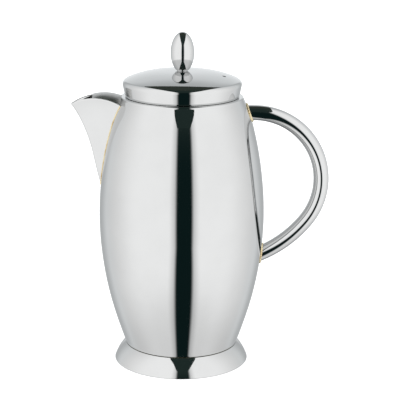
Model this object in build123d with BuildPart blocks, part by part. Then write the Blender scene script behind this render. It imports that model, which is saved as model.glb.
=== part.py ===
"""Coffee pot in polished stainless steel: barrel body on a flared foot, beak spout, hollow tube
handle and a lift-off domed lid with an egg knob.

Frame: origin on the body's axis in the plane that the foot stands on, +Z up, +X towards the handle,
the spout towards -X. Millimetres. Every pressed piece is thin sheet, and the pieces of the pot meet
face to face where they are welded.
"""
from build123d import *
import os
from math import asin, atan2, cos, degrees, radians, sin, tan

os.makedirs("parts", exist_ok=True)

# ---- driving dimensions -------------------------------------------------------------------------
SHEET = 0.8                    # wall of the pressed pieces
WAIST_Z = 12.8                 # joint between the body and the foot
WAIST_R = 37.8
LEDGE_Z = 181.4                # flat ledge round the mouth, on which the lid rests
SHOULDER_R = 40.4              # body radius just below the ledge
SHOULDER_DROP = 1.0            # height of the rounding between shoulder and ledge
MOUTH_R = 36.0                 # hole in the ledge

# outside of the barrel, as (radius, height); a spline joins them
BARREL = [(WAIST_R, WAIST_Z), (46.1, 38), (52.4, 67), (55.0, 97), (53.4, 128), (48.3, 157),
          (43.9, 172), (SHOULDER_R, LEDGE_Z - SHOULDER_DROP)]

FOOT_R = 45.1                  # outside of the foot where it stands
FOOT_TOP_R = 37.7
FOOT_TOP_Z = 12.2
FOOT_MIDDLE = (41.7, 7.4)      # a point half way down its slightly full side
FOOT_ROUND = 0.6               # rounding of its bottom edge
FOOT_LEAN = 30.0               # degrees that its side leans, for the thickness of the sheet
FOOT_FLANGE_R = 33.5           # inner edge of the flange welded under the base
FOOT_LIP = 2.0                 # lip turned in at the bottom of the foot
BASE_RISE = 2.2                # the base disc is dished upwards by this much
BASE_THICK = 1.0

COLLAR_DEPTH = 10.5            # mouth collar that guides the lid
COLLAR_CHAMFER = 0.3           # at the top of its bore
LID_GAP = 0.4                  # radial clearance of the lid's plug ring in the collar
SEAT_GAP = 0.2                 # running gap between lid skirt and ledge

LID_SHEET = 0.9
LID_R = 39.2                   # widest radius of the lid, at the top of its skirt
LID_SKIRT_R = 37.6             # radius at the bottom of the skirt
LID_SKIRT_LEAN = 11.5          # degrees that the skirt leans inwards
LID_TOP_Z = 198.1
LID_DOME_POWER = 3             # flat in the middle, falling fast near the edge
LID_RIM_ROUND = 3.0            # radius of the rounding between dome and skirt
LID_RIM_TILT = 25.0            # slope, in degrees, where the dome meets that rounding
VENT_R = 1.3
VENT_OFFSET = 28.0
VENT_AZIMUTH = -14.0

KNOB_R = 7.75                  # egg knob: half width and half height
KNOB_HALF = 13.6
KNOB_CENTRE_Z = 210.1
KNOB_BASE_Z = 198.9            # flat under the egg, where the neck ring is clamped
NECK_R = 3.7
SCREW_R = 2.0                  # M4 screw from below
SCREW_HOLE_R = 2.2
SCREW_GRIP = 9.0               # thread inside the egg
SCREW_HEAD_R = 3.8
SCREW_HEAD_H = 2.4
SCREW_HEAD_ROUND = 0.9
SCREW_SOCKET_DEPTH = 1.4
SCREW_SOCKET_R = 1.6           # across the corners of the hexagon socket, halved
WASHER_R = 6.0
WASHER_H = 0.8
PLUG_DEPTH = 9.0               # how far the lid's plug ring reaches below the ledge
PLUG_FLANGE_RISE = 0.8         # its flange sits this far above the bottom of the skirt

SPOUT_BACK = 36.0              # the spout's outline is drawn back to this |x|, inside the body
# spout outline at some heights: (height, keel |x|, half angle of the V, bulge of each side)
SPOUT = [(115, 52.0, 34, 0.2), (125, 55.2, 32, 0.3), (137, 58.1, 27, 0.5), (149, 61.0, 23.5, 0.7),
         (160, 64.9, 20.5, 0.9), (169, 69.2, 19, 1.1), (177, 74.5, 18, 1.2), (186, 82.0, 18, 1.3)]
KEEL_ROUND = 1.6               # outside radius along the keel
LIP_TIP = (-73.6, 175.6)       # the spout's upper edge, seen from the side, is an arc
LIP_CREST = (-57.5, 180.9)
LIP_END = (-40.0, 176.8)
ROOF_FRONT = -58.5             # front edge of the plate that covers the spout
ROOF = [(-62, 181.65, 18), (-51, 183.45, 16), (-38, 180.95, 16)]   # its arch: (x, crown z, radius)
ROOF_FOOT_Z = 174.0            # its arch is kept above this height
CUT_BACK = -20.0               # the block that trims the lip reaches from this x, inside the body,
CUT_FRONT = -95.0              # to this x,
CUT_TOP = 220.0                # up to this height
CUT_DROP = 1.6                 # and this far below the tip in front of it
CUT_SIDE = 40.0                # and this far to each side
SPOUT_WELD = 0.7               # size of the weld bead along the spout

HANDLE_R = 5.1                 # outside radius of the handle tube
HANDLE_WALL = 1.0
HANDLE_Z = 170.4               # height of the level stretch at the top
HANDLE_START_X = 39.0          # it is drawn from here, inside the body, and cut at the wall
HANDLE_BEND_X = 47.6           # where the level stretch bends over
HANDLE_BEND_R = 45.3
HANDLE_TURN = 38.2             # degrees below level where the wider lower bend starts
HANDLE_LOWER_R = 77.9
HANDLE_END = 70.0
WELD = 0.9                     # size of the weld beads at its ends

STRAINER_HOLE_R = 1.3
STRAINER_ROWS = [(133, 1), (138.5, 2), (144, 2), (149.5, 3), (155, 3), (160.5, 4), (166, 4),
                 (171.5, 5)]   # (height, holes)
STRAINER_PITCH = 3.6
STRAINER_START = -30.0         # the holes are cut outwards from this x


def export(builder, label):
    """Name a finished piece and write it to its STEP file."""
    builder.part.label = label
    export_step(builder.part, f"parts/{label}.step")


def barrel_envelope(grow=0.0):
    """The whole volume inside the barrel's outer face, moved outwards by grow."""
    outline = [(r + grow, z) for r, z in BARREL]
    top = LEDGE_Z + grow
    with BuildPart() as envelope:
        with BuildSketch(Plane.XZ):
            with BuildLine():
                side = Spline(*outline)
                TangentArc(side @ 1, (SHOULDER_R - SHOULDER_DROP + grow, top), tangent=side % 1)
                Polyline((SHOULDER_R - SHOULDER_DROP + grow, top), (0, top), (0, WAIST_Z), outline[0])
            make_face()
        revolve(axis=Axis.Z)
    return envelope.part


def spout_outline(z, keel, half_angle, bulge, grow):
    """One level section of the spout: a V with its rounded keel forward and slightly full sides."""
    slope = radians(half_angle)
    depth = keel - SPOUT_BACK
    corner_angle = slope + atan2(4 * bulge, depth)
    tip = -keel - KEEL_ROUND * (1 / sin(corner_angle) - 1)
    half = (-SPOUT_BACK - tip) * tan(slope)
    middle_x = (tip - SPOUT_BACK) / 2
    middle_y = half / 2 + bulge
    with BuildSketch(Plane.XY.offset(z)) as outline:
        with BuildLine():
            ThreePointArc((-SPOUT_BACK, half), (middle_x, middle_y), (tip, 0))
            ThreePointArc((tip, 0), (middle_x, -middle_y), (-SPOUT_BACK, -half))
            Line((-SPOUT_BACK, -half), (-SPOUT_BACK, half))
        make_face()
        fillet(outline.vertices().sort_by(Axis.X)[0], KEEL_ROUND)
        if grow:
            offset(amount=grow, kind=Kind.INTERSECTION)
    return outline.sketch


def spout_envelope(grow=0.0):
    """The volume inside the spout's outer face, moved outwards by grow."""
    with BuildPart() as envelope:
        loft([spout_outline(*station, grow) for station in SPOUT])
    return envelope.part


def roof_arch(grow=0.0):
    """A bar along the spout whose upper side is the arch of the roof plate, moved outwards by grow."""
    with BuildPart() as bar:
        sections = []
        for x, crown, radius in ROOF:
            with BuildSketch(Plane.YZ.offset(x)) as section:
                with Locations((0, crown - radius)):
                    Circle(radius + grow)
            sections.append(section.sketch)
        loft(sections)
    return bar.part


def above_lip():
    """Everything above the spout's upper edge."""
    with BuildPart() as cutter:
        with BuildSketch(Plane.XZ):
            with BuildLine():
                ThreePointArc(LIP_TIP, LIP_CREST, LIP_END)
                Polyline(LIP_END, (CUT_BACK, LIP_END[1]), (CUT_BACK, CUT_TOP), (CUT_FRONT, CUT_TOP),
                         (CUT_FRONT, LIP_TIP[1] - CUT_DROP), LIP_TIP)
            make_face()
        extrude(amount=CUT_SIDE, both=True)
    return cutter.part


def handle_solid(radius, bore=0.0):
    """The handle's bent bar or tube, its ends running on into the body."""
    centre = (HANDLE_BEND_X, HANDLE_Z - HANDLE_BEND_R)
    shift = HANDLE_BEND_R - HANDLE_LOWER_R
    turn = radians(HANDLE_TURN)
    lower_centre = (centre[0] + shift * cos(turn), centre[1] - shift * sin(turn))
    with BuildPart() as bar:
        with BuildLine(Plane.XZ):
            Line((HANDLE_START_X, HANDLE_Z), (HANDLE_BEND_X, HANDLE_Z))
            CenterArc(centre, HANDLE_BEND_R, 90, -90 - HANDLE_TURN)
            CenterArc(lower_centre, HANDLE_LOWER_R, -HANDLE_TURN, HANDLE_TURN - HANDLE_END)
        with BuildSketch(Plane.YZ.offset(HANDLE_START_X)):
            with Locations((0, HANDLE_Z)):
                Circle(radius)
                if bore:
                    Circle(bore, mode=Mode.SUBTRACT)
        sweep()
    return bar.part


def dome_point(r, depth=0.0):
    """Point of the lid's dome at radius r, as (radius, height), moved down square to it by depth."""
    tilt = atan2(DOME_RISE * LID_DOME_POWER * (r / DOME_R) ** (LID_DOME_POWER - 1), DOME_R)
    height = LID_TOP_Z - DOME_RISE * (r / DOME_R) ** LID_DOME_POWER
    return (r - depth * sin(tilt), height - depth * cos(tilt))


# the dome ends where the rounded rim takes over at its slope
DOME_R = LID_R - LID_RIM_ROUND * (1 - sin(radians(LID_RIM_TILT)))
DOME_RISE = DOME_R * tan(radians(LID_RIM_TILT)) / LID_DOME_POWER

BODY = barrel_envelope()
SPOUT_SOLID = spout_envelope()
SPOUT_CAVITY = spout_envelope(-SHEET)
ABOVE_LIP = above_lip()
HANDLE_BAR = handle_solid(HANDLE_R)

# ---- the pot's body -----------------------------------------------------------------------------
inner_barrel = [(r - SHEET, z) for r, z in BARREL]
with BuildPart() as body_shell:
    add(BODY)
    with BuildSketch(Plane.XZ):
        with BuildLine():
            inner_side = Spline(*inner_barrel[:-1], (SHOULDER_R - SHEET, LEDGE_Z - SHOULDER_DROP))
            Polyline(inner_side @ 1, (SHOULDER_R - SHOULDER_DROP - SHEET, LEDGE_Z - SHEET),
                     (0, LEDGE_Z - SHEET), (0, WAIST_Z), inner_barrel[0])
        make_face()
    revolve(axis=Axis.Z, mode=Mode.SUBTRACT)
    with BuildSketch(Plane.XY.offset(LEDGE_Z)):
        Circle(MOUTH_R)
    extrude(amount=-3 * SHEET, mode=Mode.SUBTRACT)
    # strainer: rows of holes behind the spout
    for height, count in STRAINER_ROWS:
        with BuildSketch(Plane.YZ.offset(STRAINER_START)):
            with Locations((0, height)):
                with GridLocations(STRAINER_PITCH, 1, count, 1):
                    Circle(STRAINER_HOLE_R)
        extrude(amount=STRAINER_START, mode=Mode.SUBTRACT)
export(body_shell, "body_shell")

with BuildPart() as mouth_collar:
    with BuildSketch(Plane.XY.offset(LEDGE_Z)):
        Circle(MOUTH_R)
        Circle(MOUTH_R - SHEET, mode=Mode.SUBTRACT)
    extrude(amount=-COLLAR_DEPTH)
    chamfer(mouth_collar.edges().group_by(Axis.Z)[-1].sort_by(SortBy.RADIUS)[0], COLLAR_CHAMFER)
export(mouth_collar, "mouth_collar")

base_edge = WAIST_R - SHEET
dish_r = (base_edge ** 2 + BASE_RISE ** 2) / (2 * BASE_RISE)
with BuildPart() as base_disc:
    with BuildSketch(Plane.XY.offset(WAIST_Z)):
        Circle(base_edge)
    extrude(amount=BASE_RISE + BASE_THICK)
    with Locations((0, 0, WAIST_Z + BASE_RISE + BASE_THICK - dish_r)):
        Sphere(dish_r, mode=Mode.INTERSECT)
    with Locations((0, 0, WAIST_Z + BASE_RISE - dish_r)):
        Sphere(dish_r, mode=Mode.SUBTRACT)
export(base_disc, "base_disc")

# ---- foot ---------------------------------------------------------------------------------------
lean = radians(FOOT_LEAN)
hem_inner = FOOT_R - FOOT_ROUND - SHEET
corner = FOOT_ROUND * (1 - cos(radians(45)))
inner_middle = (FOOT_MIDDLE[0] - SHEET * cos(lean), FOOT_MIDDLE[1] - SHEET * sin(lean))
with BuildPart() as foot_skirt:
    with BuildSketch(Plane.XZ):
        with BuildLine():
            Polyline((FOOT_FLANGE_R, FOOT_TOP_Z - SHEET), (FOOT_FLANGE_R, FOOT_TOP_Z), (FOOT_TOP_R, FOOT_TOP_Z))
            ThreePointArc((FOOT_TOP_R, FOOT_TOP_Z), FOOT_MIDDLE, (FOOT_R, FOOT_ROUND))
            ThreePointArc((FOOT_R, FOOT_ROUND), (FOOT_R - corner, corner), (FOOT_R - FOOT_ROUND, 0))
            Polyline((FOOT_R - FOOT_ROUND, 0), (FOOT_R - FOOT_LIP, 0), (FOOT_R - FOOT_LIP, SHEET),
                     (hem_inner, SHEET))
            ThreePointArc((hem_inner, SHEET), inner_middle, (FOOT_TOP_R - SHEET, FOOT_TOP_Z - SHEET))
            Line((FOOT_TOP_R - SHEET, FOOT_TOP_Z - SHEET), (FOOT_FLANGE_R, FOOT_TOP_Z - SHEET))
        make_face()
    revolve(axis=Axis.Z)
export(foot_skirt, "foot_skirt")

with BuildPart() as foot_weld_ring:
    with BuildSketch(Plane.XY.offset(FOOT_TOP_Z)):
        Circle(FOOT_TOP_R - SHEET)
        Circle(FOOT_FLANGE_R, mode=Mode.SUBTRACT)
    extrude(amount=WAIST_Z - FOOT_TOP_Z)
export(foot_weld_ring, "foot_weld_ring")

# ---- spout --------------------------------------------------------------------------------------
with BuildPart() as spout_shell:
    add(SPOUT_SOLID)
    add(SPOUT_CAVITY, mode=Mode.SUBTRACT)
    add(BODY, mode=Mode.SUBTRACT)
    add(ABOVE_LIP, mode=Mode.SUBTRACT)
export(spout_shell, "spout_shell")

with BuildPart() as spout_roof:
    add(roof_arch())
    add(roof_arch(-SHEET), mode=Mode.SUBTRACT)
    split(bisect_by=Plane.YZ.offset(ROOF_FRONT), keep=Keep.TOP)
    split(bisect_by=Plane.XY.offset(ROOF_FOOT_Z), keep=Keep.TOP)
    add(SPOUT_CAVITY, mode=Mode.INTERSECT)
    add(BODY, mode=Mode.SUBTRACT)
export(spout_roof, "spout_roof")

with BuildPart() as spout_weld_bead:
    add(spout_envelope(SPOUT_WELD))
    add(barrel_envelope(SPOUT_WELD), mode=Mode.INTERSECT)
    add(SPOUT_SOLID, mode=Mode.SUBTRACT)
    add(BODY, mode=Mode.SUBTRACT)
    add(ABOVE_LIP, mode=Mode.SUBTRACT)
export(spout_weld_bead, "spout_weld_bead")

# ---- handle -------------------------------------------------------------------------------------
with BuildPart() as handle_tube:
    add(handle_solid(HANDLE_R, HANDLE_R - HANDLE_WALL))
    add(BODY, mode=Mode.SUBTRACT)
export(handle_tube, "handle_tube")

with BuildPart() as handle_beads:
    add(handle_solid(HANDLE_R + WELD))
    add(barrel_envelope(WELD), mode=Mode.INTERSECT)
    add(HANDLE_BAR, mode=Mode.SUBTRACT)
    add(BODY, mode=Mode.SUBTRACT)
lower_bead, upper_bead = handle_beads.solids().sort_by(Axis.Z)
for bead, label in ((upper_bead, "handle_upper_weld"), (lower_bead, "handle_lower_weld")):
    with BuildPart() as weld:
        add(bead)
    export(weld, label)

# ---- lid ----------------------------------------------------------------------------------------
skirt_z = LEDGE_Z + SEAT_GAP
dome_stations = [0, DOME_R / 4, DOME_R / 2, DOME_R * 3 / 4, DOME_R]
rim_slope = (cos(radians(LID_RIM_TILT)), -sin(radians(LID_RIM_TILT)))
rim_x, rim_z = dome_point(DOME_R, LID_RIM_ROUND)
rim_start = 90 - LID_RIM_TILT
with BuildPart() as lid_cap:
    with BuildSketch(Plane.XZ):
        with BuildLine():
            dome = Spline(*[dome_point(r) for r in dome_stations], tangents=[(1, 0), rim_slope])
            rim = CenterArc((rim_x, rim_z), LID_RIM_ROUND, rim_start, -rim_start - LID_SKIRT_LEAN)
            inside_rim = CenterArc((rim_x, rim_z), LID_RIM_ROUND - LID_SHEET, rim_start,
                                   -rim_start - LID_SKIRT_LEAN)
            hollow = Spline(*[dome_point(r, LID_SHEET) for r in dome_stations], tangents=[(1, 0), rim_slope])
            Polyline(rim @ 1, (LID_SKIRT_R, skirt_z), (LID_SKIRT_R - LID_SHEET, skirt_z), inside_rim @ 1)
            Line(dome @ 0, hollow @ 0)
        make_face()
    revolve(axis=Axis.Z)
    with BuildSketch(Plane.XY.offset(LID_TOP_Z + LID_SHEET)):
        Circle(SCREW_HOLE_R)
    extrude(amount=-3 * LID_SHEET, mode=Mode.SUBTRACT)
    with BuildSketch(Plane.XY.offset(LID_TOP_Z)):
        with PolarLocations(VENT_OFFSET, 1, start_angle=VENT_AZIMUTH):
            Circle(VENT_R)
    extrude(amount=-DOME_RISE - LID_SHEET, mode=Mode.SUBTRACT)
export(lid_cap, "lid_cap")

plug_r = MOUTH_R - SHEET - LID_GAP
plug_foot = LEDGE_Z - PLUG_DEPTH
with BuildPart() as lid_plug_ring:
    with BuildSketch(Plane.XZ):
        with BuildLine():
            Polyline((plug_r - SHEET, plug_foot), (plug_r, plug_foot), (plug_r, skirt_z + PLUG_FLANGE_RISE),
                     (LID_SKIRT_R - LID_SHEET / 2, skirt_z + PLUG_FLANGE_RISE),
                     (LID_SKIRT_R - LID_SHEET / 2, skirt_z + PLUG_FLANGE_RISE + SHEET),
                     (plug_r - SHEET, skirt_z + PLUG_FLANGE_RISE + SHEET), close=True)
        make_face()
    revolve(axis=Axis.Z)
    add(lid_cap.part, mode=Mode.SUBTRACT)
export(lid_plug_ring, "lid_plug_ring")

base_angle = -degrees(asin((KNOB_CENTRE_Z - KNOB_BASE_Z) / KNOB_HALF))
with BuildPart() as knob_egg:
    with BuildSketch(Plane.XZ):
        with BuildLine():
            egg = EllipticalCenterArc((0, KNOB_CENTRE_Z), KNOB_R, KNOB_HALF, start_angle=base_angle,
                                      arc_size=90 - base_angle)
            Polyline(egg @ 1, (0, KNOB_BASE_Z), egg @ 0)
        make_face()
    revolve(axis=Axis.Z)
    with BuildSketch(Plane.XY.offset(KNOB_BASE_Z)):
        Circle(SCREW_R)
    extrude(amount=SCREW_GRIP, mode=Mode.SUBTRACT)
export(knob_egg, "knob_egg")

with BuildPart() as knob_neck_ring:
    with BuildSketch(Plane.XY.offset(KNOB_BASE_Z)):
        Circle(NECK_R)
        Circle(SCREW_HOLE_R, mode=Mode.SUBTRACT)
    extrude(amount=LID_TOP_Z - KNOB_BASE_Z - LID_SHEET / 2)
    add(lid_cap.part, mode=Mode.SUBTRACT)
export(knob_neck_ring, "knob_neck_ring")

washer_top = LID_TOP_Z - LID_SHEET
with BuildPart() as knob_washer:
    with BuildSketch(Plane.XY.offset(washer_top - WASHER_H)):
        Circle(WASHER_R)
        Circle(SCREW_HOLE_R, mode=Mode.SUBTRACT)
    extrude(amount=WASHER_H)
    add(lid_cap.part, mode=Mode.SUBTRACT)
export(knob_washer, "knob_washer")

head_top = washer_top - WASHER_H
with BuildPart() as knob_screw:
    with BuildSketch(Plane.XY.offset(head_top)):
        Circle(SCREW_HEAD_R)
    extrude(amount=-SCREW_HEAD_H)
    fillet(knob_screw.edges().group_by(Axis.Z)[0], SCREW_HEAD_ROUND)
    with BuildSketch(Plane.XY.offset(head_top)):
        Circle(SCREW_R)
    extrude(amount=KNOB_BASE_Z + SCREW_GRIP - head_top)
    with BuildSketch(Plane.XY.offset(head_top - SCREW_HEAD_H)):
        RegularPolygon(SCREW_SOCKET_R, 6)
    extrude(amount=SCREW_SOCKET_DEPTH, mode=Mode.SUBTRACT)
export(knob_screw, "knob_screw")
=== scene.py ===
"""Coffee pot in mirror-polished stainless steel: smooth meshes, steel and weld materials, studio."""
from math import atan2, cos, hypot, pi, radians, sin, sqrt, tan
import bmesh
import bpy
import numpy as np
from mathutils import Matrix, Vector


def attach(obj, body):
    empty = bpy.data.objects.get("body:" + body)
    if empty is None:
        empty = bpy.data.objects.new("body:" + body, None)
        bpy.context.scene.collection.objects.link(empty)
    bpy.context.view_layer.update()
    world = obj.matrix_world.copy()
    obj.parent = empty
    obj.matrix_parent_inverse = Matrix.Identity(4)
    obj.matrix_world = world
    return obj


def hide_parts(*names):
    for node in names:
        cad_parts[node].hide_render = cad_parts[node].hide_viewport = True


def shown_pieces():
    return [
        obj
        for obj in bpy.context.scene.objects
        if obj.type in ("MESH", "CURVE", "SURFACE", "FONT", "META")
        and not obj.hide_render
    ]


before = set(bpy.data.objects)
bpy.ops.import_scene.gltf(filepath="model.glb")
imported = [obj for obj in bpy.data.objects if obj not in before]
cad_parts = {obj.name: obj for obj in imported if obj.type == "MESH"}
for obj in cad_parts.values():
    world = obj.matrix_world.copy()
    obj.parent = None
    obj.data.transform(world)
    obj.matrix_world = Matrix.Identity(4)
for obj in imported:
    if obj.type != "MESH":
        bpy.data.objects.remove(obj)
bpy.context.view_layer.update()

MM = 0.001                     # sizes below are in millimetres, as on the drawing of the pot

# ---- sizes that the meshes share with the CAD ---------------------------------------------------
SHEET = 0.8
LEDGE_Z = 181.4
SHOULDER_R = 40.4
SHOULDER_DROP = 1.0
MOUTH_R = 36.0
BARREL = [(37.8, 12.8), (46.1, 38), (52.4, 67), (55.0, 97), (53.4, 128), (48.3, 157), (43.9, 172),
          (SHOULDER_R, LEDGE_Z - SHOULDER_DROP)]
FOOT_R = 45.1
FOOT_TOP_R = 37.7
FOOT_TOP_Z = 12.2
FOOT_MIDDLE = (41.7, 7.4)
FOOT_ROUND = 0.6
FOOT_FLANGE_R = 33.5
FOOT_LIP = 2.0
WAIST_Z = 12.8
LID_SHEET = 0.9
LID_R = 39.2
LID_SKIRT_R = 37.6
LID_SKIRT_Z = 181.6
LID_SKIRT_LEAN = 11.5
LID_TOP_Z = 198.1
LID_DOME_POWER = 3
LID_RIM_ROUND = 3.0
LID_RIM_TILT = 25.0
VENT_R = 1.3
VENT_OFFSET = 28.0
VENT_AZIMUTH = -14.0
VENT_LENGTH = 6                # of the drill that cuts it
SCREW_HOLE_R = 2.2
SCREW_R = 2.0
SCREW_GRIP = 9.0
KNOB_R = 7.75
KNOB_HALF = 13.6
KNOB_CENTRE_Z = 210.1
KNOB_BASE_Z = 198.9
NECK_R = 3.7
SPOUT_BACK = 36.0
SPOUT = [(115, 52.0, 34, 0.2), (125, 55.2, 32, 0.3), (137, 58.1, 27, 0.5), (149, 61.0, 23.5, 0.7),
         (160, 64.9, 20.5, 0.9), (169, 69.2, 19, 1.1), (177, 74.5, 18, 1.2), (186, 82.0, 18, 1.3)]
KEEL_ROUND = 1.6
LIP_TIP = (-73.6, 175.6)
LIP_CREST = (-57.5, 180.9)
LIP_END = (-40.0, 176.8)
ROOF_FRONT = -58.5
ROOF = [(-62, 181.65, 18), (-51, 183.45, 16), (-38, 180.95, 16)]
HANDLE_R = 5.1
HANDLE_WALL = 1.0
HANDLE_Z = 170.4
HANDLE_START_X = 39.0
HANDLE_BEND_X = 47.6
HANDLE_BEND_R = 45.3
HANDLE_TURN = 38.2
HANDLE_LOWER_R = 77.9
HANDLE_END = 70.0
STRAINER_HOLE_R = 1.3
STRAINER_ROWS = [(133, 1), (138.5, 2), (144, 2), (149.5, 3), (155, 3), (160.5, 4), (166, 4),
                 (171.5, 5)]
STRAINER_PITCH = 3.6
STRAINER_X = -50               # middle of the drill's way through the wall, and its length
STRAINER_LENGTH = 40

# ---- how fine the meshes are --------------------------------------------------------------------
TURN = 288                     # faces round a turned piece
SPAN_STEPS = 14                # rows to each stretch of the barrel's spline
EMBED = 0.35                   # pieces welded to the body run this far into its sheet
SHARP = radians(38)            # edges sharper than this stay crisp
EDGE_ROUND = 0.2               # rounding of the small sheet edges that the CAD leaves sharp
NECK_SINK = 0.02               # the knob's neck goes this far into the lid's dome

# ---- weld beads, as (radius, height of the ripples) ---------------------------------------------
SPOUT_BEAD = (0.50, 0.07)
HANDLE_BEAD = (1.00, 0.16)
FOOT_BEAD_R = 36.7             # the foot's weld ring swells from this radius
FOOT_BEAD_RIPPLE = 0.10
SEAM_OUT = 0.15                # the handle's beads lie this far outside its tube
SEAM_TOP = 176.6               # the spout's bead ends just under the lip
SEAM_STEPS = 150               # points round each end of the handle


# ---- curves -------------------------------------------------------------------------------------
def spline_through(points, count):
    """Points of the natural cubic spline through the given ones, count to each span."""
    knots = np.array(points, float)
    steps = np.linalg.norm(np.diff(knots, axis=0), axis=1)
    slopes = np.diff(knots, axis=0) / steps[:, None]
    system = np.eye(len(knots))
    target = np.zeros_like(knots)
    for i in range(1, len(knots) - 1):
        system[i, i - 1:i + 2] = (steps[i - 1], 2 * (steps[i - 1] + steps[i]), steps[i])
        target[i] = 6 * (slopes[i] - slopes[i - 1])
    bend = np.linalg.solve(system, target)
    curve = []
    for i, step in enumerate(steps):
        for u in np.arange(count) / count:
            v = 1 - u
            curve.append(v * knots[i] + u * knots[i + 1]
                         + step ** 2 / 6 * ((v ** 3 - v) * bend[i] + (u ** 3 - u) * bend[i + 1]))
    curve.append(knots[-1])
    return np.array(curve)


def circle_through(a, b, c):
    """Centre and radius of the circle through three points."""
    (ax, ay), (bx, by), (cx, cy) = a, b, c
    d = 2 * (ax * (by - cy) + bx * (cy - ay) + cx * (ay - by))
    aa, bb, cc = ax * ax + ay * ay, bx * bx + by * by, cx * cx + cy * cy
    x = (aa * (by - cy) + bb * (cy - ay) + cc * (ay - by)) / d
    y = (aa * (cx - bx) + bb * (ax - cx) + cc * (bx - ax)) / d
    return (x, y), hypot(ax - x, ay - y)


def arc(centre, radius, start, end, steps):
    """Points of an arc between two angles in degrees."""
    return [(centre[0] + radius * cos(a), centre[1] + radius * sin(a))
            for a in np.radians(np.linspace(start, end, steps + 1))]


def arc_between(a, middle, b, steps):
    """Points of the arc from a through middle to b."""
    centre, radius = circle_through(a, middle, b)
    start, via, end = (atan2(p[1] - centre[1], p[0] - centre[0]) for p in (a, middle, b))
    via = start + (via - start + pi) % (2 * pi) - pi
    end = via + (end - via + pi) % (2 * pi) - pi
    return arc(centre, radius, start * 180 / pi, end * 180 / pi, steps)


def rounded(points, steps=5):
    """A path whose corners (x, z, radius) are rounded, with a close row of points beside each."""
    path = []
    for i, (x, z, radius) in enumerate(points):
        corner = Vector((x, z))
        if not radius:
            path.append((x, z))
            continue
        before = (Vector(points[i - 1][:2]) - corner).normalized()
        after = (Vector(points[(i + 1) % len(points)][:2]) - corner).normalized()
        half = before.angle(after) / 2
        reach = radius / tan(half)
        start, end = corner + before * reach, corner + after * reach
        centre = corner + (before + after).normalized() * (radius / sin(half))
        for k in range(steps + 1):
            mix = start.lerp(end, k / steps) - centre
            path.append(tuple(centre + mix.normalized() * radius))
        path.insert(len(path) - steps - 1, tuple(start + before * radius * 0.3))
        path.append(tuple(end + after * radius * 0.3))
    return path


def ripple(t, seed=0.0):
    """An irregular ripple between about -1 and 1, the same on every run."""
    return (sin(t + seed) + 0.6 * sin(2.3 * t + 1.7 + seed) + 0.4 * sin(5.1 * t + 0.6)) / 2


# ---- meshes -------------------------------------------------------------------------------------
def piece(name, verts, faces, material, body, replaced, slot):
    """A smooth shaded mesh that rides on a body and stands for CAD nodes."""
    bm = bmesh.new()
    made = [bm.verts.new([c * MM for c in v]) for v in verts]
    for face in faces:
        corners = [made[k] for k in dict.fromkeys(face)]
        if len(corners) > 2:
            bm.faces.new(corners)
    bmesh.ops.remove_doubles(bm, verts=bm.verts, dist=1e-7)
    bmesh.ops.recalc_face_normals(bm, faces=bm.faces)
    mesh = bpy.data.meshes.new(name)
    bm.to_mesh(mesh)
    bm.free()
    obj = bpy.data.objects.new(name, mesh)
    bpy.context.scene.collection.objects.link(obj)
    crisp(mesh)
    mesh.materials.append(material)
    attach(obj, body)
    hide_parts(*replaced)
    return obj


def crisp(mesh):
    """Smooth shading with crisp edges at the sharp corners."""
    mesh.shade_smooth()
    mesh.set_sharp_from_angle(angle=SHARP)


def strip(a, b, loop=False):
    """Quads between two rows of vertex numbers."""
    pairs = list(zip(range(len(a)), range(1, len(a))))
    if loop:
        pairs.append((len(a) - 1, 0))
    return [(a[i], a[j], b[j], b[i]) for i, j in pairs]


def grid_faces(rows, loop_rows=False, loop_columns=False):
    """Quads of a grid given as rows of vertex numbers."""
    faces = []
    for a, b in zip(rows, rows[1:] + (rows[:1] if loop_rows else [])):
        faces += strip(a, b, loop_columns)
    return faces


def lathe(outline, closed=True, wobble=None):
    """Vertices and faces of an outline (radius, height) turned about the axis."""
    verts, rows = [], []
    for r, z in outline:
        if r < 1e-6:
            rows.append([len(verts)] * TURN)
            verts.append((0, 0, z))
            continue
        rows.append(list(range(len(verts), len(verts) + TURN)))
        for k in range(TURN):
            a = 2 * pi * k / TURN
            grown = r + (wobble(a) if wobble else 0)
            verts.append((grown * cos(a), grown * sin(a), z))
    return verts, grid_faces(rows, loop_rows=closed, loop_columns=True)


def tube(path, normals, radius, sides=14, closed=False):
    """Vertices and faces of a round bead along a path; radius is a function of the row."""
    path, normals = np.array(path), np.array(normals)
    ahead = np.roll(path, -1, axis=0) - np.roll(path, 1, axis=0)
    if not closed:
        ahead[0], ahead[-1] = path[1] - path[0], path[-1] - path[-2]
    verts, rows = [], []
    for i, (point, along, normal) in enumerate(zip(path, ahead, normals)):
        along = along / np.linalg.norm(along)
        across = np.cross(along, normal)
        across /= np.linalg.norm(across)
        up = np.cross(across, along)
        rows.append(list(range(len(verts), len(verts) + sides)))
        for k in range(sides):
            a = 2 * pi * k / sides
            verts.append(tuple(point + radius(i) * (cos(a) * up + sin(a) * across)))
    faces = grid_faces(rows, loop_rows=closed, loop_columns=True)
    if not closed:
        faces += [tuple(rows[0]), tuple(reversed(rows[-1]))]
    return verts, faces


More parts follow.
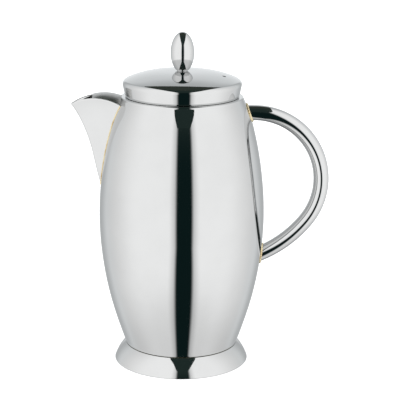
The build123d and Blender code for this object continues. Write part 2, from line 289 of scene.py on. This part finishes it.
def drill(obj, cylinders):
    """Cuts round holes: (centre, axis direction, radius, length) each, in millimetres."""
    bm = bmesh.new()
    for centre, direction, radius, length in cylinders:
        turn = Vector(direction).to_track_quat("Z", "Y").to_matrix().to_4x4()
        place = Matrix.Translation(Vector(centre) * MM) @ turn
        bmesh.ops.create_cone(bm, cap_ends=True, segments=32, radius1=radius * MM, radius2=radius * MM,
                              depth=length * MM, matrix=place)
    mesh = bpy.data.meshes.new("cutter")
    bm.to_mesh(mesh)
    bm.free()
    cutter = bpy.data.objects.new("cutter", mesh)
    bpy.context.scene.collection.objects.link(cutter)
    cut = obj.modifiers.new("holes", "BOOLEAN")
    cut.operation = "DIFFERENCE"
    cut.solver = "EXACT"
    cut.object = cutter
    graph = bpy.context.evaluated_depsgraph_get()
    result = bpy.data.meshes.new_from_object(obj.evaluated_get(graph))
    obj.modifiers.clear()
    old = obj.data
    obj.data = result
    result.name = obj.name
    bpy.data.meshes.remove(old)
    bpy.data.objects.remove(cutter)
    bpy.data.meshes.remove(mesh)
    crisp(result)


# ---- materials ----------------------------------------------------------------------------------
class Nodes:
    """Short ways to add nodes to a node tree."""

    def __init__(self, tree):
        self.tree = tree
        tree.nodes.clear()

    def add(self, kind, **values):
        node = self.tree.nodes.new(kind)
        for key, value in values.items():
            setattr(node, key, value)
        return node

    def plug(self, socket, value):
        if isinstance(value, bpy.types.NodeSocket):
            self.tree.links.new(value, socket)
        else:
            socket.default_value = value

    def math(self, operation, a, b=0.0, c=0.0, clamp=False):
        node = self.add("ShaderNodeMath", operation=operation, use_clamp=clamp)
        for socket, value in zip(node.inputs, (a, b, c)):
            self.plug(socket, value)
        return node.outputs[0]

    def smooth(self, value, low, high, out_low=0.0, out_high=1.0):
        node = self.add("ShaderNodeMapRange", interpolation_type="SMOOTHSTEP")
        for socket, number in zip(node.inputs, (value, low, high, out_low, out_high)):
            self.plug(socket, number)
        return node.outputs[0]

    def noise(self, vector, scale, detail=2.0, stretch=(1, 1, 1)):
        place = self.add("ShaderNodeMapping")
        self.plug(place.inputs["Vector"], vector)
        place.inputs["Scale"].default_value = stretch
        node = self.add("ShaderNodeTexNoise")
        self.plug(node.inputs["Vector"], place.outputs[0])
        node.inputs["Scale"].default_value = scale
        node.inputs["Detail"].default_value = detail
        return node.outputs["Fac"]

    def blend(self, factor, a, b):
        node = self.add("ShaderNodeMix", data_type="RGBA")
        self.plug(node.inputs["Factor"], factor)
        self.plug(node.inputs["A"], a)
        self.plug(node.inputs["B"], b)
        return node.outputs["Result"]


def steel(name, tint, worn, roughness, grain, grain_stretch, grain_depth, heat=False):
    """Polished or brushed steel: cloudy polish, fine grain left by the buffing, duller worn edges."""
    material = bpy.data.materials.new(name)
    material.use_nodes = True
    n = Nodes(material.node_tree)
    place = n.add("ShaderNodeTexCoord").outputs["Object"]
    shader = n.add("ShaderNodeBsdfPrincipled")
    output = n.add("ShaderNodeOutputMaterial")
    n.plug(output.inputs["Surface"], shader.outputs[0])
    shader.inputs["Metallic"].default_value = 1.0

    cloud = n.noise(place, 34, 3)
    marks = n.noise(place, grain, 4, grain_stretch)
    edge = n.smooth(n.add("ShaderNodeNewGeometry").outputs["Pointiness"], 0.53, 0.62)
    speck = n.smooth(n.noise(place, 900, 2), 0.5, 0.72)
    wear = n.math("MULTIPLY", edge, n.math("MULTIPLY_ADD", speck, 0.6, 0.4))
    base = n.blend(n.smooth(cloud, 0.3, 0.7), tint, tuple(c * 0.965 for c in tint[:3]) + (1,))
    base = n.blend(n.math("MULTIPLY", wear, 0.6), base, worn)
    if heat:
        halo = n.add("ShaderNodeAttribute", attribute_name="heat").outputs["Fac"]
        base = n.blend(n.math("MULTIPLY", halo, 0.8), base, (0.72, 0.56, 0.30, 1))
    n.plug(shader.inputs["Base Color"], base)
    low, high = roughness
    polish = n.smooth(cloud, 0.3, 0.75, low, high)
    polish = n.math("MULTIPLY_ADD", n.smooth(marks, 0.35, 0.8), (high - low) * 0.8, polish)
    n.plug(shader.inputs["Roughness"], n.math("MULTIPLY_ADD", wear, 0.14, polish))
    bump = n.add("ShaderNodeBump")
    bump.inputs["Strength"].default_value = 0.35
    bump.inputs["Distance"].default_value = grain_depth
    n.plug(bump.inputs["Height"], marks)
    n.plug(shader.inputs["Normal"], bump.outputs[0])
    return material


def weld_metal(name, straw, brown, roughness):
    """Weld bead: straw to bronze heat colours in patches, with solidified ripples."""
    material = bpy.data.materials.new(name)
    material.use_nodes = True
    n = Nodes(material.node_tree)
    place = n.add("ShaderNodeTexCoord").outputs["Object"]
    shader = n.add("ShaderNodeBsdfPrincipled")
    output = n.add("ShaderNodeOutputMaterial")
    n.plug(output.inputs["Surface"], shader.outputs[0])
    shader.inputs["Metallic"].default_value = 1.0
    patches = n.smooth(n.noise(place, 160, 3), 0.4, 0.68)
    n.plug(shader.inputs["Base Color"], n.blend(patches, straw, brown))
    ripples = n.noise(place, 1500, 3)
    low, high = roughness
    n.plug(shader.inputs["Roughness"], n.smooth(ripples, 0.3, 0.7, low, high))
    bump = n.add("ShaderNodeBump")
    bump.inputs["Strength"].default_value = 0.5
    bump.inputs["Distance"].default_value = 0.00008
    n.plug(bump.inputs["Height"], ripples)
    n.plug(shader.inputs["Normal"], bump.outputs[0])
    return material


MIRROR = steel("mirror_steel", (0.64, 0.645, 0.645, 1), (0.74, 0.74, 0.73, 1), (0.022, 0.05),
               420, (1, 1, 3.5), 0.000004, heat=True)
SATIN = steel("satin_steel", (0.58, 0.58, 0.57, 1), (0.70, 0.70, 0.69, 1), (0.20, 0.32),
              300, (1, 1, 9), 0.00003)
SCREW_STEEL = steel("screw_steel", (0.52, 0.52, 0.53, 1), (0.68, 0.68, 0.68, 1), (0.16, 0.28),
                    900, (1, 1, 1), 0.00002)
WELD = weld_metal("weld_bead", (0.86, 0.74, 0.48, 1), (0.62, 0.46, 0.24, 1), (0.16, 0.34))
ROOT_WELD = weld_metal("foot_weld", (0.22, 0.21, 0.14, 1), (0.12, 0.115, 0.08, 1), (0.35, 0.55))

for node, material in (("mouth_collar", SATIN), ("base_disc", SATIN), ("lid_plug_ring", SATIN),
                       ("knob_washer", SCREW_STEEL), ("knob_screw", SCREW_STEEL)):
    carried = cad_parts[node]
    carried.data.materials.clear()
    carried.data.materials.append(material)

# ---- body ---------------------------------------------------------------------------------------
BARREL_FINE = spline_through(BARREL, 200)


def barrel_r(z):
    """Outer radius of the body at height z."""
    return float(np.interp(z, BARREL_FINE[:, 1], BARREL_FINE[:, 0]))


def body_outline():
    """Closed outline of the body's sheet: up the outside, over the ledge, down the inside."""
    outside = spline_through(BARREL, SPAN_STEPS)
    inside = spline_through([(r - SHEET, z) for r, z in BARREL], SPAN_STEPS)[::-1]
    top = LEDGE_Z - SHOULDER_DROP
    shoulder = arc((SHOULDER_R - SHOULDER_DROP, top), SHOULDER_DROP, 0, 90, 8)[1:]
    ledge = rounded([(SHOULDER_R - SHOULDER_DROP, LEDGE_Z, 0), (MOUTH_R, LEDGE_Z, 0.25),
                     (MOUTH_R, LEDGE_Z - SHEET, 0), (SHOULDER_R - SHOULDER_DROP, LEDGE_Z - SHEET, 0)], 4)[1:]
    return [tuple(p) for p in outside] + shoulder + ledge + [tuple(p) for p in inside]


body = piece("pot_body", *lathe(body_outline()), MIRROR, "pot", ["body_shell"], "polished_steel")
holes = []
for height, count in STRAINER_ROWS:
    for k in range(count):
        y = (k - (count - 1) / 2) * STRAINER_PITCH
        holes.append(((STRAINER_X, y, height), (1, 0, 0), STRAINER_HOLE_R, STRAINER_LENGTH))
drill(body, holes)

# ---- foot ---------------------------------------------------------------------------------------


def foot_outline():
    """Closed outline of the foot's sheet, from the flange over the flare to the turned-in lip."""
    side = arc_between((FOOT_TOP_R, FOOT_TOP_Z), FOOT_MIDDLE, (FOOT_R, FOOT_ROUND), 26)
    hem = arc((FOOT_R - FOOT_ROUND, FOOT_ROUND), FOOT_ROUND, 0, -90, 6)[1:]
    hem_inner = FOOT_R - FOOT_ROUND - SHEET
    lip = [(FOOT_R - FOOT_LIP, 0), (FOOT_R - FOOT_LIP, SHEET), (hem_inner, SHEET)]
    inside = arc_between((hem_inner, SHEET), (FOOT_MIDDLE[0] - 0.7, FOOT_MIDDLE[1] - 0.4),
                         (FOOT_TOP_R - SHEET, FOOT_TOP_Z - SHEET), 16)[1:]
    flange = [(FOOT_FLANGE_R, FOOT_TOP_Z - SHEET), (FOOT_FLANGE_R, FOOT_TOP_Z)]
    brim = rounded([(FOOT_FLANGE_R, FOOT_TOP_Z, 0), (FOOT_TOP_R, FOOT_TOP_Z, 0.22), side[1] + (0,)], 4)[1:-1]
    return brim + side[2:] + hem + lip + inside + flange


piece("foot", *lathe(foot_outline()), MIRROR, "pot", ["foot_skirt"], "polished_steel")
root = [(FOOT_FLANGE_R, WAIST_Z), (FOOT_FLANGE_R, FOOT_TOP_Z), (FOOT_BEAD_R, FOOT_TOP_Z)]
root += arc((FOOT_BEAD_R, (WAIST_Z + FOOT_TOP_Z) / 2), (WAIST_Z - FOOT_TOP_Z) / 2, -90, 90, 8)[1:]
piece("foot_weld", *lathe(root, wobble=lambda a: FOOT_BEAD_RIPPLE * ripple(170 * a)), ROOT_WELD, "pot",
      ["foot_weld_ring"], "weld_bead")

# ---- spout --------------------------------------------------------------------------------------
SPOUT_FINE = spline_through(SPOUT, 60)


class SpoutSection:
    """One level section of the spout, measured along its outline from the keel to the body."""

    def __init__(self, z, inset=0.0):
        keel, half_angle, bulge = (float(np.interp(z, SPOUT_FINE[:, 0], SPOUT_FINE[:, c])) for c in (1, 2, 3))
        slope = radians(half_angle)
        corner = slope + atan2(4 * bulge, keel - SPOUT_BACK)
        tip = -keel - KEEL_ROUND * (1 / sin(corner) - 1)
        half = (-SPOUT_BACK - tip) * tan(slope)
        middle = ((tip - SPOUT_BACK) / 2, half / 2 + bulge)
        self.side, outer = circle_through((-SPOUT_BACK, half), middle, (tip, 0))
        self.keel_x = self.side[0] - sqrt((outer - KEEL_ROUND) ** 2 - self.side[1] ** 2)
        self.side_r = outer - inset
        self.keel_r = KEEL_ROUND - inset
        self.turn = atan2(-self.side[1], -(self.keel_x - self.side[0]))
        self.keel_length = self.keel_r * self.turn

    def at(self, s):
        """Point at distance s from the keel, on the +Y side."""
        if s < self.keel_length:
            a = pi - s / self.keel_r
            return self.keel_x + self.keel_r * cos(a), self.keel_r * sin(a)
        a = pi - self.turn - (s - self.keel_length) / self.side_r
        return self.side[0] + self.side_r * cos(a), self.side[1] + self.side_r * sin(a)

    def reach(self, radius):
        """Distance from the keel at which the outline meets a circle about the pot's axis."""
        low, high = 0.0, 60.0
        for _ in range(40):
            middle = (low + high) / 2
            if hypot(*self.at(middle)) > radius:
                low = middle
            else:
                high = middle
        return low

    def half_width(self, x):
        """Half the section's width at x."""
        join = self.keel_x - self.keel_r * cos(self.turn)
        if x < join:
            return sqrt(max(self.keel_r ** 2 - (x - self.keel_x) ** 2, 0))
        return self.side[1] + sqrt(self.side_r ** 2 - (x - self.side[0]) ** 2)


LIP_CENTRE, LIP_R = circle_through(LIP_TIP, LIP_CREST, LIP_END)
SPOUT_COLUMNS = 44             # faces on each side of the keel
SPOUT_ROWS = 76
SPOUT_CROWD = 1.7              # columns crowd towards the keel by this power
LIP_BEAD = SHEET / 2           # the lip's edge is rounded over the sheet's thickness


def lip_z(x):
    """Height of the spout's upper edge, seen from the side."""
    return LIP_CENTRE[1] + sqrt(LIP_R ** 2 - (x - LIP_CENTRE[0]) ** 2)


def spout_point(u, z, inset):
    """Point of the spout's wall at height z; u runs from -1 at the body over 0 at the keel to 1."""
    section = SpoutSection(z, inset)
    s = section.reach(barrel_r(z) - EMBED) * abs(u) ** SPOUT_CROWD
    x, y = section.at(s)
    return np.array((x, y if u > 0 else -y, z))


def bisect(low, high, test):
    """The value between low and high where test turns from true to false."""
    for _ in range(30):
        middle = (low + high) / 2
        if test(middle):
            low = middle
        else:
            high = middle
    return (low + high) / 2


def spout_wall(inset):
    """Rows of points of one face of the spout's wall, from its foot on the body to the lip."""
    def keel_inside(z):
        section = SpoutSection(z, inset)
        return -section.at(0)[0] < barrel_r(z) - EMBED
    foot = bisect(112, 150, keel_inside)
    columns = np.linspace(-1, 1, 2 * SPOUT_COLUMNS + 1)
    tops = [bisect(150, 185.9, lambda z: z < lip_z(spout_point(u, z, inset)[0]) - LIP_BEAD) for u in columns]
    return [[spout_point(u, foot + (top - foot) * v, inset) for u, top in zip(columns, tops)]
            for v in np.linspace(0, 1, SPOUT_ROWS + 1)]


def spout_mesh():
    """The spout's sheet: outer and inner wall, rounded lip, edges closed inside the body's sheet."""
    outer, inner = spout_wall(0), spout_wall(SHEET)
    lip = []
    for a in np.linspace(0, pi, 8)[1:-1]:
        row = []
        for top, below, back, back_below in zip(outer[-1], outer[-2], inner[-1], inner[-2]):
            rise, back_rise = top - below, back - back_below
            up = rise / np.linalg.norm(rise) + back_rise / np.linalg.norm(back_rise)
            up /= np.linalg.norm(up)
            row.append((top + back) / 2 + cos(a) * (top - back) / 2 + sin(a) * LIP_BEAD * up)
        lip.append(row)
    rows = outer + lip + inner[::-1]
    width = len(rows[0])
    verts = [p for row in rows for p in row]
    numbers = [list(range(i * width, (i + 1) * width)) for i in range(len(rows))]
    faces = grid_faces(numbers)
    # close the two long edges, pairing each outer row with the inner row of the same rank
    for column in (0, -1):
        edge = [row[column] for row in numbers]
        out_edge = edge[:len(outer)]
        in_edge = edge[::-1][:len(inner)]
        faces += strip(out_edge, in_edge)
        faces.append(tuple(edge[len(outer) - 1:len(outer) + len(lip) + 1]))
    return verts, faces


piece("spout", *spout_mesh(), MIRROR, "pot", ["spout_shell"], "polished_steel")

ROOF_FINE = spline_through(ROOF, 60)


def roof_z(x, y, drop):
    """Height of the arched roof plate of the spout."""
    crown, radius = (float(np.interp(x, ROOF_FINE[:, 0], ROOF_FINE[:, c])) for c in (1, 2))
    return crown - radius + sqrt((radius - drop) ** 2 - y ** 2)


def roof_half(x, drop):
    """Half width of the roof plate at x, just into the spout's walls."""
    y = 8.0
    for _ in range(6):
        y = SpoutSection(roof_z(x, y, drop), SHEET / 2).half_width(x)
    return y


def roof_mesh():
    """The roof plate, as an upper and a lower face that meet in a rounded front edge."""
    across = np.linspace(-1, 1, 41)
    surfaces = []
    for drop in (0, SHEET):
        columns = []
        for s in across:
            back = -45.0
            for _ in range(8):
                y = s * roof_half(back, drop)
                back = -sqrt((barrel_r(roof_z(back, y, drop)) - EMBED) ** 2 - y ** 2)
            column = []
            for w in np.linspace(0, 1, 25):
                x = ROOF_FRONT + (back - ROOF_FRONT) * w
                y = s * roof_half(x, drop)
                column.append((x, y, roof_z(x, y, drop)))
            columns.append(column)
        surfaces.append([[column[w] for column in columns] for w in range(25)])
    top, under = surfaces
    nose = [[((a[0] + b[0]) / 2 - sin(t) * SHEET / 2, (a[1] + b[1]) / 2,
              (a[2] + b[2]) / 2 - cos(t) * (a[2] - b[2]) / 2) for a, b in zip(top[0], under[0])]
            for t in np.linspace(pi, 0, 7)[1:-1]]
    rows = top[::-1] + nose + under
    verts = [p for row in rows for p in row]
    numbers = [list(range(i * 41, (i + 1) * 41)) for i in range(len(rows))]
    faces = grid_faces(numbers, loop_rows=True)
    for column in (0, -1):
        edge = [row[column] for row in numbers]
        faces += strip(edge[:25], edge[::-1][:25])
        faces.append(tuple(edge[24:24 + len(nose) + 2]))
    return verts, faces


piece("spout_roof_plate", *roof_mesh(), SATIN, "pot", ["spout_roof"], "polished_steel")


def seam_path():
    """The line where the spout's outer face meets the body, down one side and up the other."""
    foot = bisect(112, 150, lambda z: -SpoutSection(z).at(0)[0] < barrel_r(z))
    side = []
    for w in np.linspace(0, 1, 260):
        z = foot + (SEAM_TOP - foot) * (1 - w) ** 1.6
        section = SpoutSection(z)
        x, y = section.at(section.reach(barrel_r(z)))
        side.append((x, y, z))
    return side + [(x, -y, z) for x, y, z in side[-2::-1]]


seam = seam_path()
seam_out = [np.array((x, y, 0)) / hypot(x, y) for x, y, z in seam]
piece("spout_weld", *tube(seam, seam_out, lambda i: SPOUT_BEAD[0] + SPOUT_BEAD[1] * ripple(1.9 * i)),
      WELD, "pot", ["spout_weld_bead"], "weld_bead")

# ---- handle -------------------------------------------------------------------------------------
HANDLE_CENTRE = (HANDLE_BEND_X, HANDLE_Z - HANDLE_BEND_R)
LEVEL = HANDLE_BEND_X - HANDLE_START_X
UPPER_ARC = HANDLE_BEND_R * radians(90 + HANDLE_TURN)
LOWER_ARC = HANDLE_LOWER_R * radians(HANDLE_END - HANDLE_TURN)


def handle_at(s):
    """Point and direction of the handle's centre line at distance s, in the XZ plane."""
    if s < LEVEL:
        return (HANDLE_START_X + s, HANDLE_Z), (1.0, 0.0)
    if s < LEVEL + UPPER_ARC:
        a = pi / 2 - (s - LEVEL) / HANDLE_BEND_R
        centre, radius = HANDLE_CENTRE, HANDLE_BEND_R
    else:
        turn = radians(HANDLE_TURN)
        shift = HANDLE_BEND_R - HANDLE_LOWER_R
        centre = (HANDLE_CENTRE[0] + shift * cos(turn), HANDLE_CENTRE[1] - shift * sin(turn))
        radius = HANDLE_LOWER_R
        a = -turn - (s - LEVEL - UPPER_ARC) / HANDLE_LOWER_R
    return (centre[0] + radius * cos(a), centre[1] + radius * sin(a)), (sin(a), -cos(a))


def handle_point(s, a, radius):
    """Point of the tube's skin at distance s along it and angle a round it."""
    (x, z), (dx, dz) = handle_at(s)
    out = radius * cos(a)
    return np.array((x - out * dz, radius * sin(a), z + out * dx))


def past_body(point, depth):
    """Whether a point lies outside the body's skin moved inwards by depth."""
    return hypot(point[0], point[1]) > barrel_r(point[2]) - depth


def handle_ends(a, radius, depth):
    """Where along the handle the line at angle a leaves the body and where it meets it again."""
    whole = LEVEL + UPPER_ARC + LOWER_ARC
    start = bisect(0, LEVEL + 20, lambda s: not past_body(handle_point(s, a, radius), depth))
    end = bisect(whole / 2, whole, lambda s: past_body(handle_point(s, a, radius), depth))
    return start, end


def handle_mesh(rows=230, sides=72):
    """The handle's tube: outer and inner skin, cut to the body's shape at both ends."""
    verts, skins = [], []
    for radius in (HANDLE_R, HANDLE_R - HANDLE_WALL):
        columns = []
        for k in range(sides):
            a = 2 * pi * k / sides
            start, end = handle_ends(a, radius, EMBED)
            columns.append([handle_point(start + (end - start) * w, a, radius)
                            for w in np.linspace(0, 1, rows + 1)])
        base = len(verts)
        verts += [columns[k][w] for w in range(rows + 1) for k in range(sides)]
        skins.append([list(range(base + w * sides, base + (w + 1) * sides)) for w in range(rows + 1)])
    outer, inner = skins
    return verts, grid_faces(outer + inner[::-1], loop_rows=True, loop_columns=True)


piece("handle", *handle_mesh(), MIRROR, "pot", ["handle_tube"], "polished_steel")


def handle_seam(end):
    """The ring where the tube's skin meets the body: end 0 is the upper one."""
    ring = []
    for k in range(SEAM_STEPS):
        a = 2 * pi * k / SEAM_STEPS
        ring.append(handle_point(handle_ends(a, HANDLE_R + SEAM_OUT, 0.0)[end], a, HANDLE_R + SEAM_OUT))
    return ring


def handle_bead(i, end):
    """Radius of a handle's bead at step i round its seam."""
    return HANDLE_BEAD[0] + HANDLE_BEAD[1] * ripple(8 * 2 * pi * i / SEAM_STEPS * 3, end)


for end, name, node in ((0, "handle_weld_upper", "handle_upper_weld"),
                        (1, "handle_weld_lower", "handle_lower_weld")):
    ring = handle_seam(end)
    outward = [np.array((p[0], p[1], 0)) / hypot(p[0], p[1]) for p in ring]
    piece(name, *tube(ring, outward, lambda i: handle_bead(i, end), closed=True),
          WELD, "pot", [node], "weld_bead")

# ---- lid ----------------------------------------------------------------------------------------
DOME_R = LID_R - LID_RIM_ROUND * (1 - sin(radians(LID_RIM_TILT)))
DOME_RISE = DOME_R * tan(radians(LID_RIM_TILT)) / LID_DOME_POWER


def dome_point(r, depth=0.0):
    """Point of the lid's dome at radius r, as (radius, height), moved down square to it by depth."""
    tilt = atan2(DOME_RISE * LID_DOME_POWER * (r / DOME_R) ** (LID_DOME_POWER - 1), DOME_R)
    height = LID_TOP_Z - DOME_RISE * (r / DOME_R) ** LID_DOME_POWER
    return r - depth * sin(tilt), height - depth * cos(tilt)


def lid_outline():
    """Closed outline of the lid's sheet: out over the dome, round the rim, down the skirt and back."""
    centre = dome_point(DOME_R, LID_RIM_ROUND)
    first = 90 - LID_RIM_TILT
    dome = [dome_point(r) for r in np.linspace(SCREW_HOLE_R, DOME_R, 60)]
    rim = arc(centre, LID_RIM_ROUND, first, -LID_SKIRT_LEAN, 26)[1:]
    inside_rim = arc(centre, LID_RIM_ROUND - LID_SHEET, first, -LID_SKIRT_LEAN, 12)[::-1]
    hem = rounded([rim[-1] + (0,), (LID_SKIRT_R, LID_SKIRT_Z, EDGE_ROUND),
                   (LID_SKIRT_R - LID_SHEET, LID_SKIRT_Z, EDGE_ROUND), inside_rim[0] + (0,)], 4)[1:-1]
    hollow = [dome_point(r, LID_SHEET) for r in np.linspace(DOME_R, SCREW_HOLE_R, 30)][1:]
    return dome + rim + hem + inside_rim + hollow


lid = piece("lid", *lathe(lid_outline()), MIRROR, "lid", ["lid_cap"], "polished_steel")
vent = radians(VENT_AZIMUTH)
drill(lid, [((VENT_OFFSET * cos(vent), VENT_OFFSET * sin(vent), dome_point(VENT_OFFSET)[1]),
             (0, 0, 1), VENT_R, VENT_LENGTH)])


def egg_outline():
    """The knob from its tip down to the flat where it is clamped, and up the screw's hole."""
    base = -np.arcsin((KNOB_CENTRE_Z - KNOB_BASE_Z) / KNOB_HALF)
    skin = [(KNOB_R * cos(a), KNOB_CENTRE_Z + KNOB_HALF * sin(a)) for a in np.linspace(pi / 2, base, 90)]
    foot = rounded([skin[-2] + (0,), skin[-1] + (EDGE_ROUND,), (SCREW_R, KNOB_BASE_Z, 0)], 4)[1:]
    return [(0, skin[0][1])] + skin[1:-1] + foot + [(SCREW_R, KNOB_BASE_Z + SCREW_GRIP),
                                                    (0, KNOB_BASE_Z + SCREW_GRIP)]


piece("knob", *lathe(egg_outline(), closed=False), MIRROR, "lid", ["knob_egg"], "polished_steel")
neck_low = LID_TOP_Z - NECK_SINK
neck_end = NECK_R - EDGE_ROUND
neck = [(SCREW_HOLE_R, neck_low), (SCREW_HOLE_R, KNOB_BASE_Z)]
neck += arc_between((neck_end, KNOB_BASE_Z), (NECK_R, (KNOB_BASE_Z + neck_low) / 2), (neck_end, neck_low), 8)
piece("knob_neck", *lathe(neck), MIRROR, "lid", ["knob_neck_ring"], "polished_steel")

# ---- heat colours beside the welds --------------------------------------------------------------
welds = [np.array(seam)] + [np.array(handle_seam(end)) for end in (0, 1)]
HEAT_START = 0.4               # the straw colour is full up to this distance from a seam,
HEAT_REACH = 0.9               # and fades out over this one
BLOCK = 4000                   # vertices measured at a time
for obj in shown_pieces():
    if obj.name not in ("pot_body", "spout", "handle"):
        continue
    points = np.array([v.co for v in obj.data.vertices]) / MM
    nearest = np.full(len(points), 99.0)
    for weld in welds:
        for start in range(0, len(points), BLOCK):
            block = points[start:start + BLOCK]
            gap = np.linalg.norm(block[:, None, :] - weld[None, ::3, :], axis=2).min(axis=1)
            nearest[start:start + BLOCK] = np.minimum(nearest[start:start + BLOCK], gap)
    heat = obj.data.attributes.new("heat", "FLOAT", "POINT")
    fade = np.maximum(nearest - HEAT_START, 0) / HEAT_REACH
    heat.data.foreach_set("value", np.exp(-fade ** 2).astype(np.float32))

# ---- floor, studio and camera -------------------------------------------------------------------


def floor():
    """A plain pale floor, seen by the camera; the metal sees the studio's own light instead."""
    mesh = bpy.data.meshes.new("floor")
    size = 12.0
    corners = [(-size, -size, 0), (size, -size, 0), (size, size, 0), (-size, size, 0)]
    mesh.from_pydata(corners, [], [(0, 1, 2, 3)])
    obj = bpy.data.objects.new("floor", mesh)
    bpy.context.scene.collection.objects.link(obj)
    material = bpy.data.materials.new("pale_floor")
    material.use_nodes = True
    n = Nodes(material.node_tree)
    shader = n.add("ShaderNodeBsdfPrincipled")
    output = n.add("ShaderNodeOutputMaterial")
    n.plug(output.inputs["Surface"], shader.outputs[0])
    shader.inputs["Base Color"].default_value = (0.9, 0.9, 0.9, 1)
    shader.inputs["Roughness"].default_value = 0.9
    shader.inputs["Specular IOR Level"].default_value = 0.0
    shader.inputs["Emission Color"].default_value = (1, 1, 1, 1)
    shader.inputs["Emission Strength"].default_value = 0.55
    mesh.materials.append(material)
    obj.visible_glossy = False


def studio():
    """Light by direction: white side walls and table, dark slot in front, lit paper behind the pot."""
    world = bpy.data.worlds.new("studio")
    bpy.context.scene.world = world
    world.use_nodes = True
    n = Nodes(world.node_tree)
    xyz = n.add("ShaderNodeSeparateXYZ")
    n.plug(xyz.inputs[0], n.add("ShaderNodeTexCoord").outputs["Generated"])
    x, y, z = xyz.outputs
    squares = n.math("ADD", n.math("MULTIPLY", x, x), n.math("MULTIPLY", y, y))
    level = n.math("MAXIMUM", n.math("SQRT", squares), 1e-4)
    side = n.math("DIVIDE", x, level)
    back = n.math("DIVIDE", y, level)
    # walls fade from bright beside the camera to grey behind the pot
    wall = n.math("SUBTRACT", 1.25, n.smooth(back, -0.5, 0.7, 0, 0.35))
    wall = n.math("SUBTRACT", wall, n.smooth(back, 0.6, 0.95, 0, 0.35))
    wall = n.math("SUBTRACT", wall, n.smooth(z, -0.92, -0.45, 0.34, 0.0))
    # a lit paper hangs behind the pot and fades towards its top
    paper = n.math("MULTIPLY", n.smooth(back, 0.90, 0.97), n.smooth(z, -0.16, 0.0))
    paper_light = n.math("ADD", n.smooth(z, -0.1, 0.5, 1.02, 0.86), n.smooth(z, 0.45, 0.78, 0.0, -0.25))
    light = n.math("ADD", wall, n.math("MULTIPLY", paper, n.math("SUBTRACT", paper_light, wall)))
    # the slot that the camera looks through, with softly lit edges that spread over the table
    offset = n.math("ABSOLUTE", n.math("SUBTRACT", side, 0.06))
    spread = n.math("MULTIPLY_ADD", n.math("MAXIMUM", n.math("SUBTRACT", -0.35, z), 0.0), 0.95, 1.0)
    offset = n.math("DIVIDE", offset, spread)
    lit = n.math("ADD", n.smooth(offset, 0.155, 0.245, 0, 0.6), n.smooth(offset, 0.17, 0.38, 0, 0.4))
    lit = n.math("MAXIMUM", lit, n.smooth(back, -0.1, 0.1))
    tone = n.blend(n.smooth(back, 0.2, 0.9), (1, 1, 1, 1), (0.955, 0.985, 1.0, 1))
    glow = n.add("ShaderNodeVectorMath", operation="SCALE")
    n.plug(glow.inputs[0], tone)
    n.plug(glow.inputs["Scale"], light)
    dark = n.blend(n.smooth(z, 0.1, 0.6), (0.005, 0.014, 0.014, 1), (0.020, 0.033, 0.030, 1))
    colour = n.blend(lit, dark, glow.outputs[0])
    seen = n.add("ShaderNodeBackground")
    n.plug(seen.inputs["Color"], colour)
    pale = n.add("ShaderNodeBackground")
    pale.inputs["Color"].default_value = (0.97, 0.97, 0.97, 1)
    choose = n.add("ShaderNodeMixShader")
    n.plug(choose.inputs[0], n.add("ShaderNodeLightPath").outputs["Is Camera Ray"])
    n.plug(choose.inputs[1], seen.outputs[0])
    n.plug(choose.inputs[2], pale.outputs[0])
    output = n.add("ShaderNodeOutputWorld")
    n.plug(output.inputs["Surface"], choose.outputs[0])


def ceiling():
    """The dark open top between the side walls, seen only in the metal."""
    rear, height = 0.156, 0.44
    # its side edges at some depths, as (depth, left, right), and how far its rear edge bows back
    edges = [(-0.62, -0.090, 0.148), (-0.345, -0.105, 0.162), (-0.22, -0.122, 0.166), (0.0, -0.128, 0.150),
             (0.25, -0.128, 0.142)]
    depths, lefts, rights = zip(*edges)
    bow = 0.47
    columns, lines = 24, 40
    verts = []
    for j in range(lines + 1):
        for k in range(columns + 1):
            end = rear * (1 + bow * (2 * k / columns - 1) ** 2)
            y = depths[0] + (end - depths[0]) * j / lines
            left = np.interp(y, depths, lefts)
            verts.append((left + (np.interp(y, depths, rights) - left) * k / columns, y, height))
    rows = [list(range(j * (columns + 1), (j + 1) * (columns + 1))) for j in range(lines + 1)]
    mesh = bpy.data.meshes.new("ceiling")
    mesh.from_pydata(verts, [], grid_faces(rows))
    obj = bpy.data.objects.new("ceiling", mesh)
    bpy.context.scene.collection.objects.link(obj)
    material = bpy.data.materials.new("dark_ceiling")
    material.use_nodes = True
    n = Nodes(material.node_tree)
    place = n.add("ShaderNodeSeparateXYZ")
    n.plug(place.inputs[0], n.add("ShaderNodeTexCoord").outputs["Object"])
    shader = n.add("ShaderNodeEmission")
    dark = n.blend(n.smooth(place.outputs[1], -0.25, 0.1), (0.020, 0.034, 0.031, 1), (0.041, 0.050, 0.042, 1))
    n.plug(shader.inputs["Color"], dark)
    output = n.add("ShaderNodeOutputMaterial")
    n.plug(output.inputs["Surface"], shader.outputs[0])
    mesh.materials.append(material)
    obj.visible_camera = False
    obj.visible_diffuse = False
    obj.visible_shadow = False


CAMERA_LENS = 136.5            # millimetres, on a 36 mm sensor
CAMERA_AT = (0, -0.98375, 0.36240)   # metres
CAMERA_DOWN = 14.353           # degrees that it looks down
CAMERA_TURN = -0.0124          # radians
CAMERA_ROLL = 0.0076


def camera():
    """The camera of the shot: a long lens, a little above the lid and looking slightly down."""
    lens = bpy.data.cameras.new("camera")
    lens.sensor_width = 36.0
    lens.lens = CAMERA_LENS
    obj = bpy.data.objects.new("camera", lens)
    bpy.context.scene.collection.objects.link(obj)
    tilt = Matrix.Rotation(radians(90 - CAMERA_DOWN), 4, "X")
    turn = Matrix.Rotation(CAMERA_TURN, 4, "Z")
    roll = Matrix.Rotation(CAMERA_ROLL, 4, "Z")
    obj.matrix_world = Matrix.Translation(CAMERA_AT) @ turn @ tilt @ roll
    bpy.context.scene.camera = obj


floor()
studio()
ceiling()
camera()
bpy.context.scene.view_settings.view_transform = "Standard"
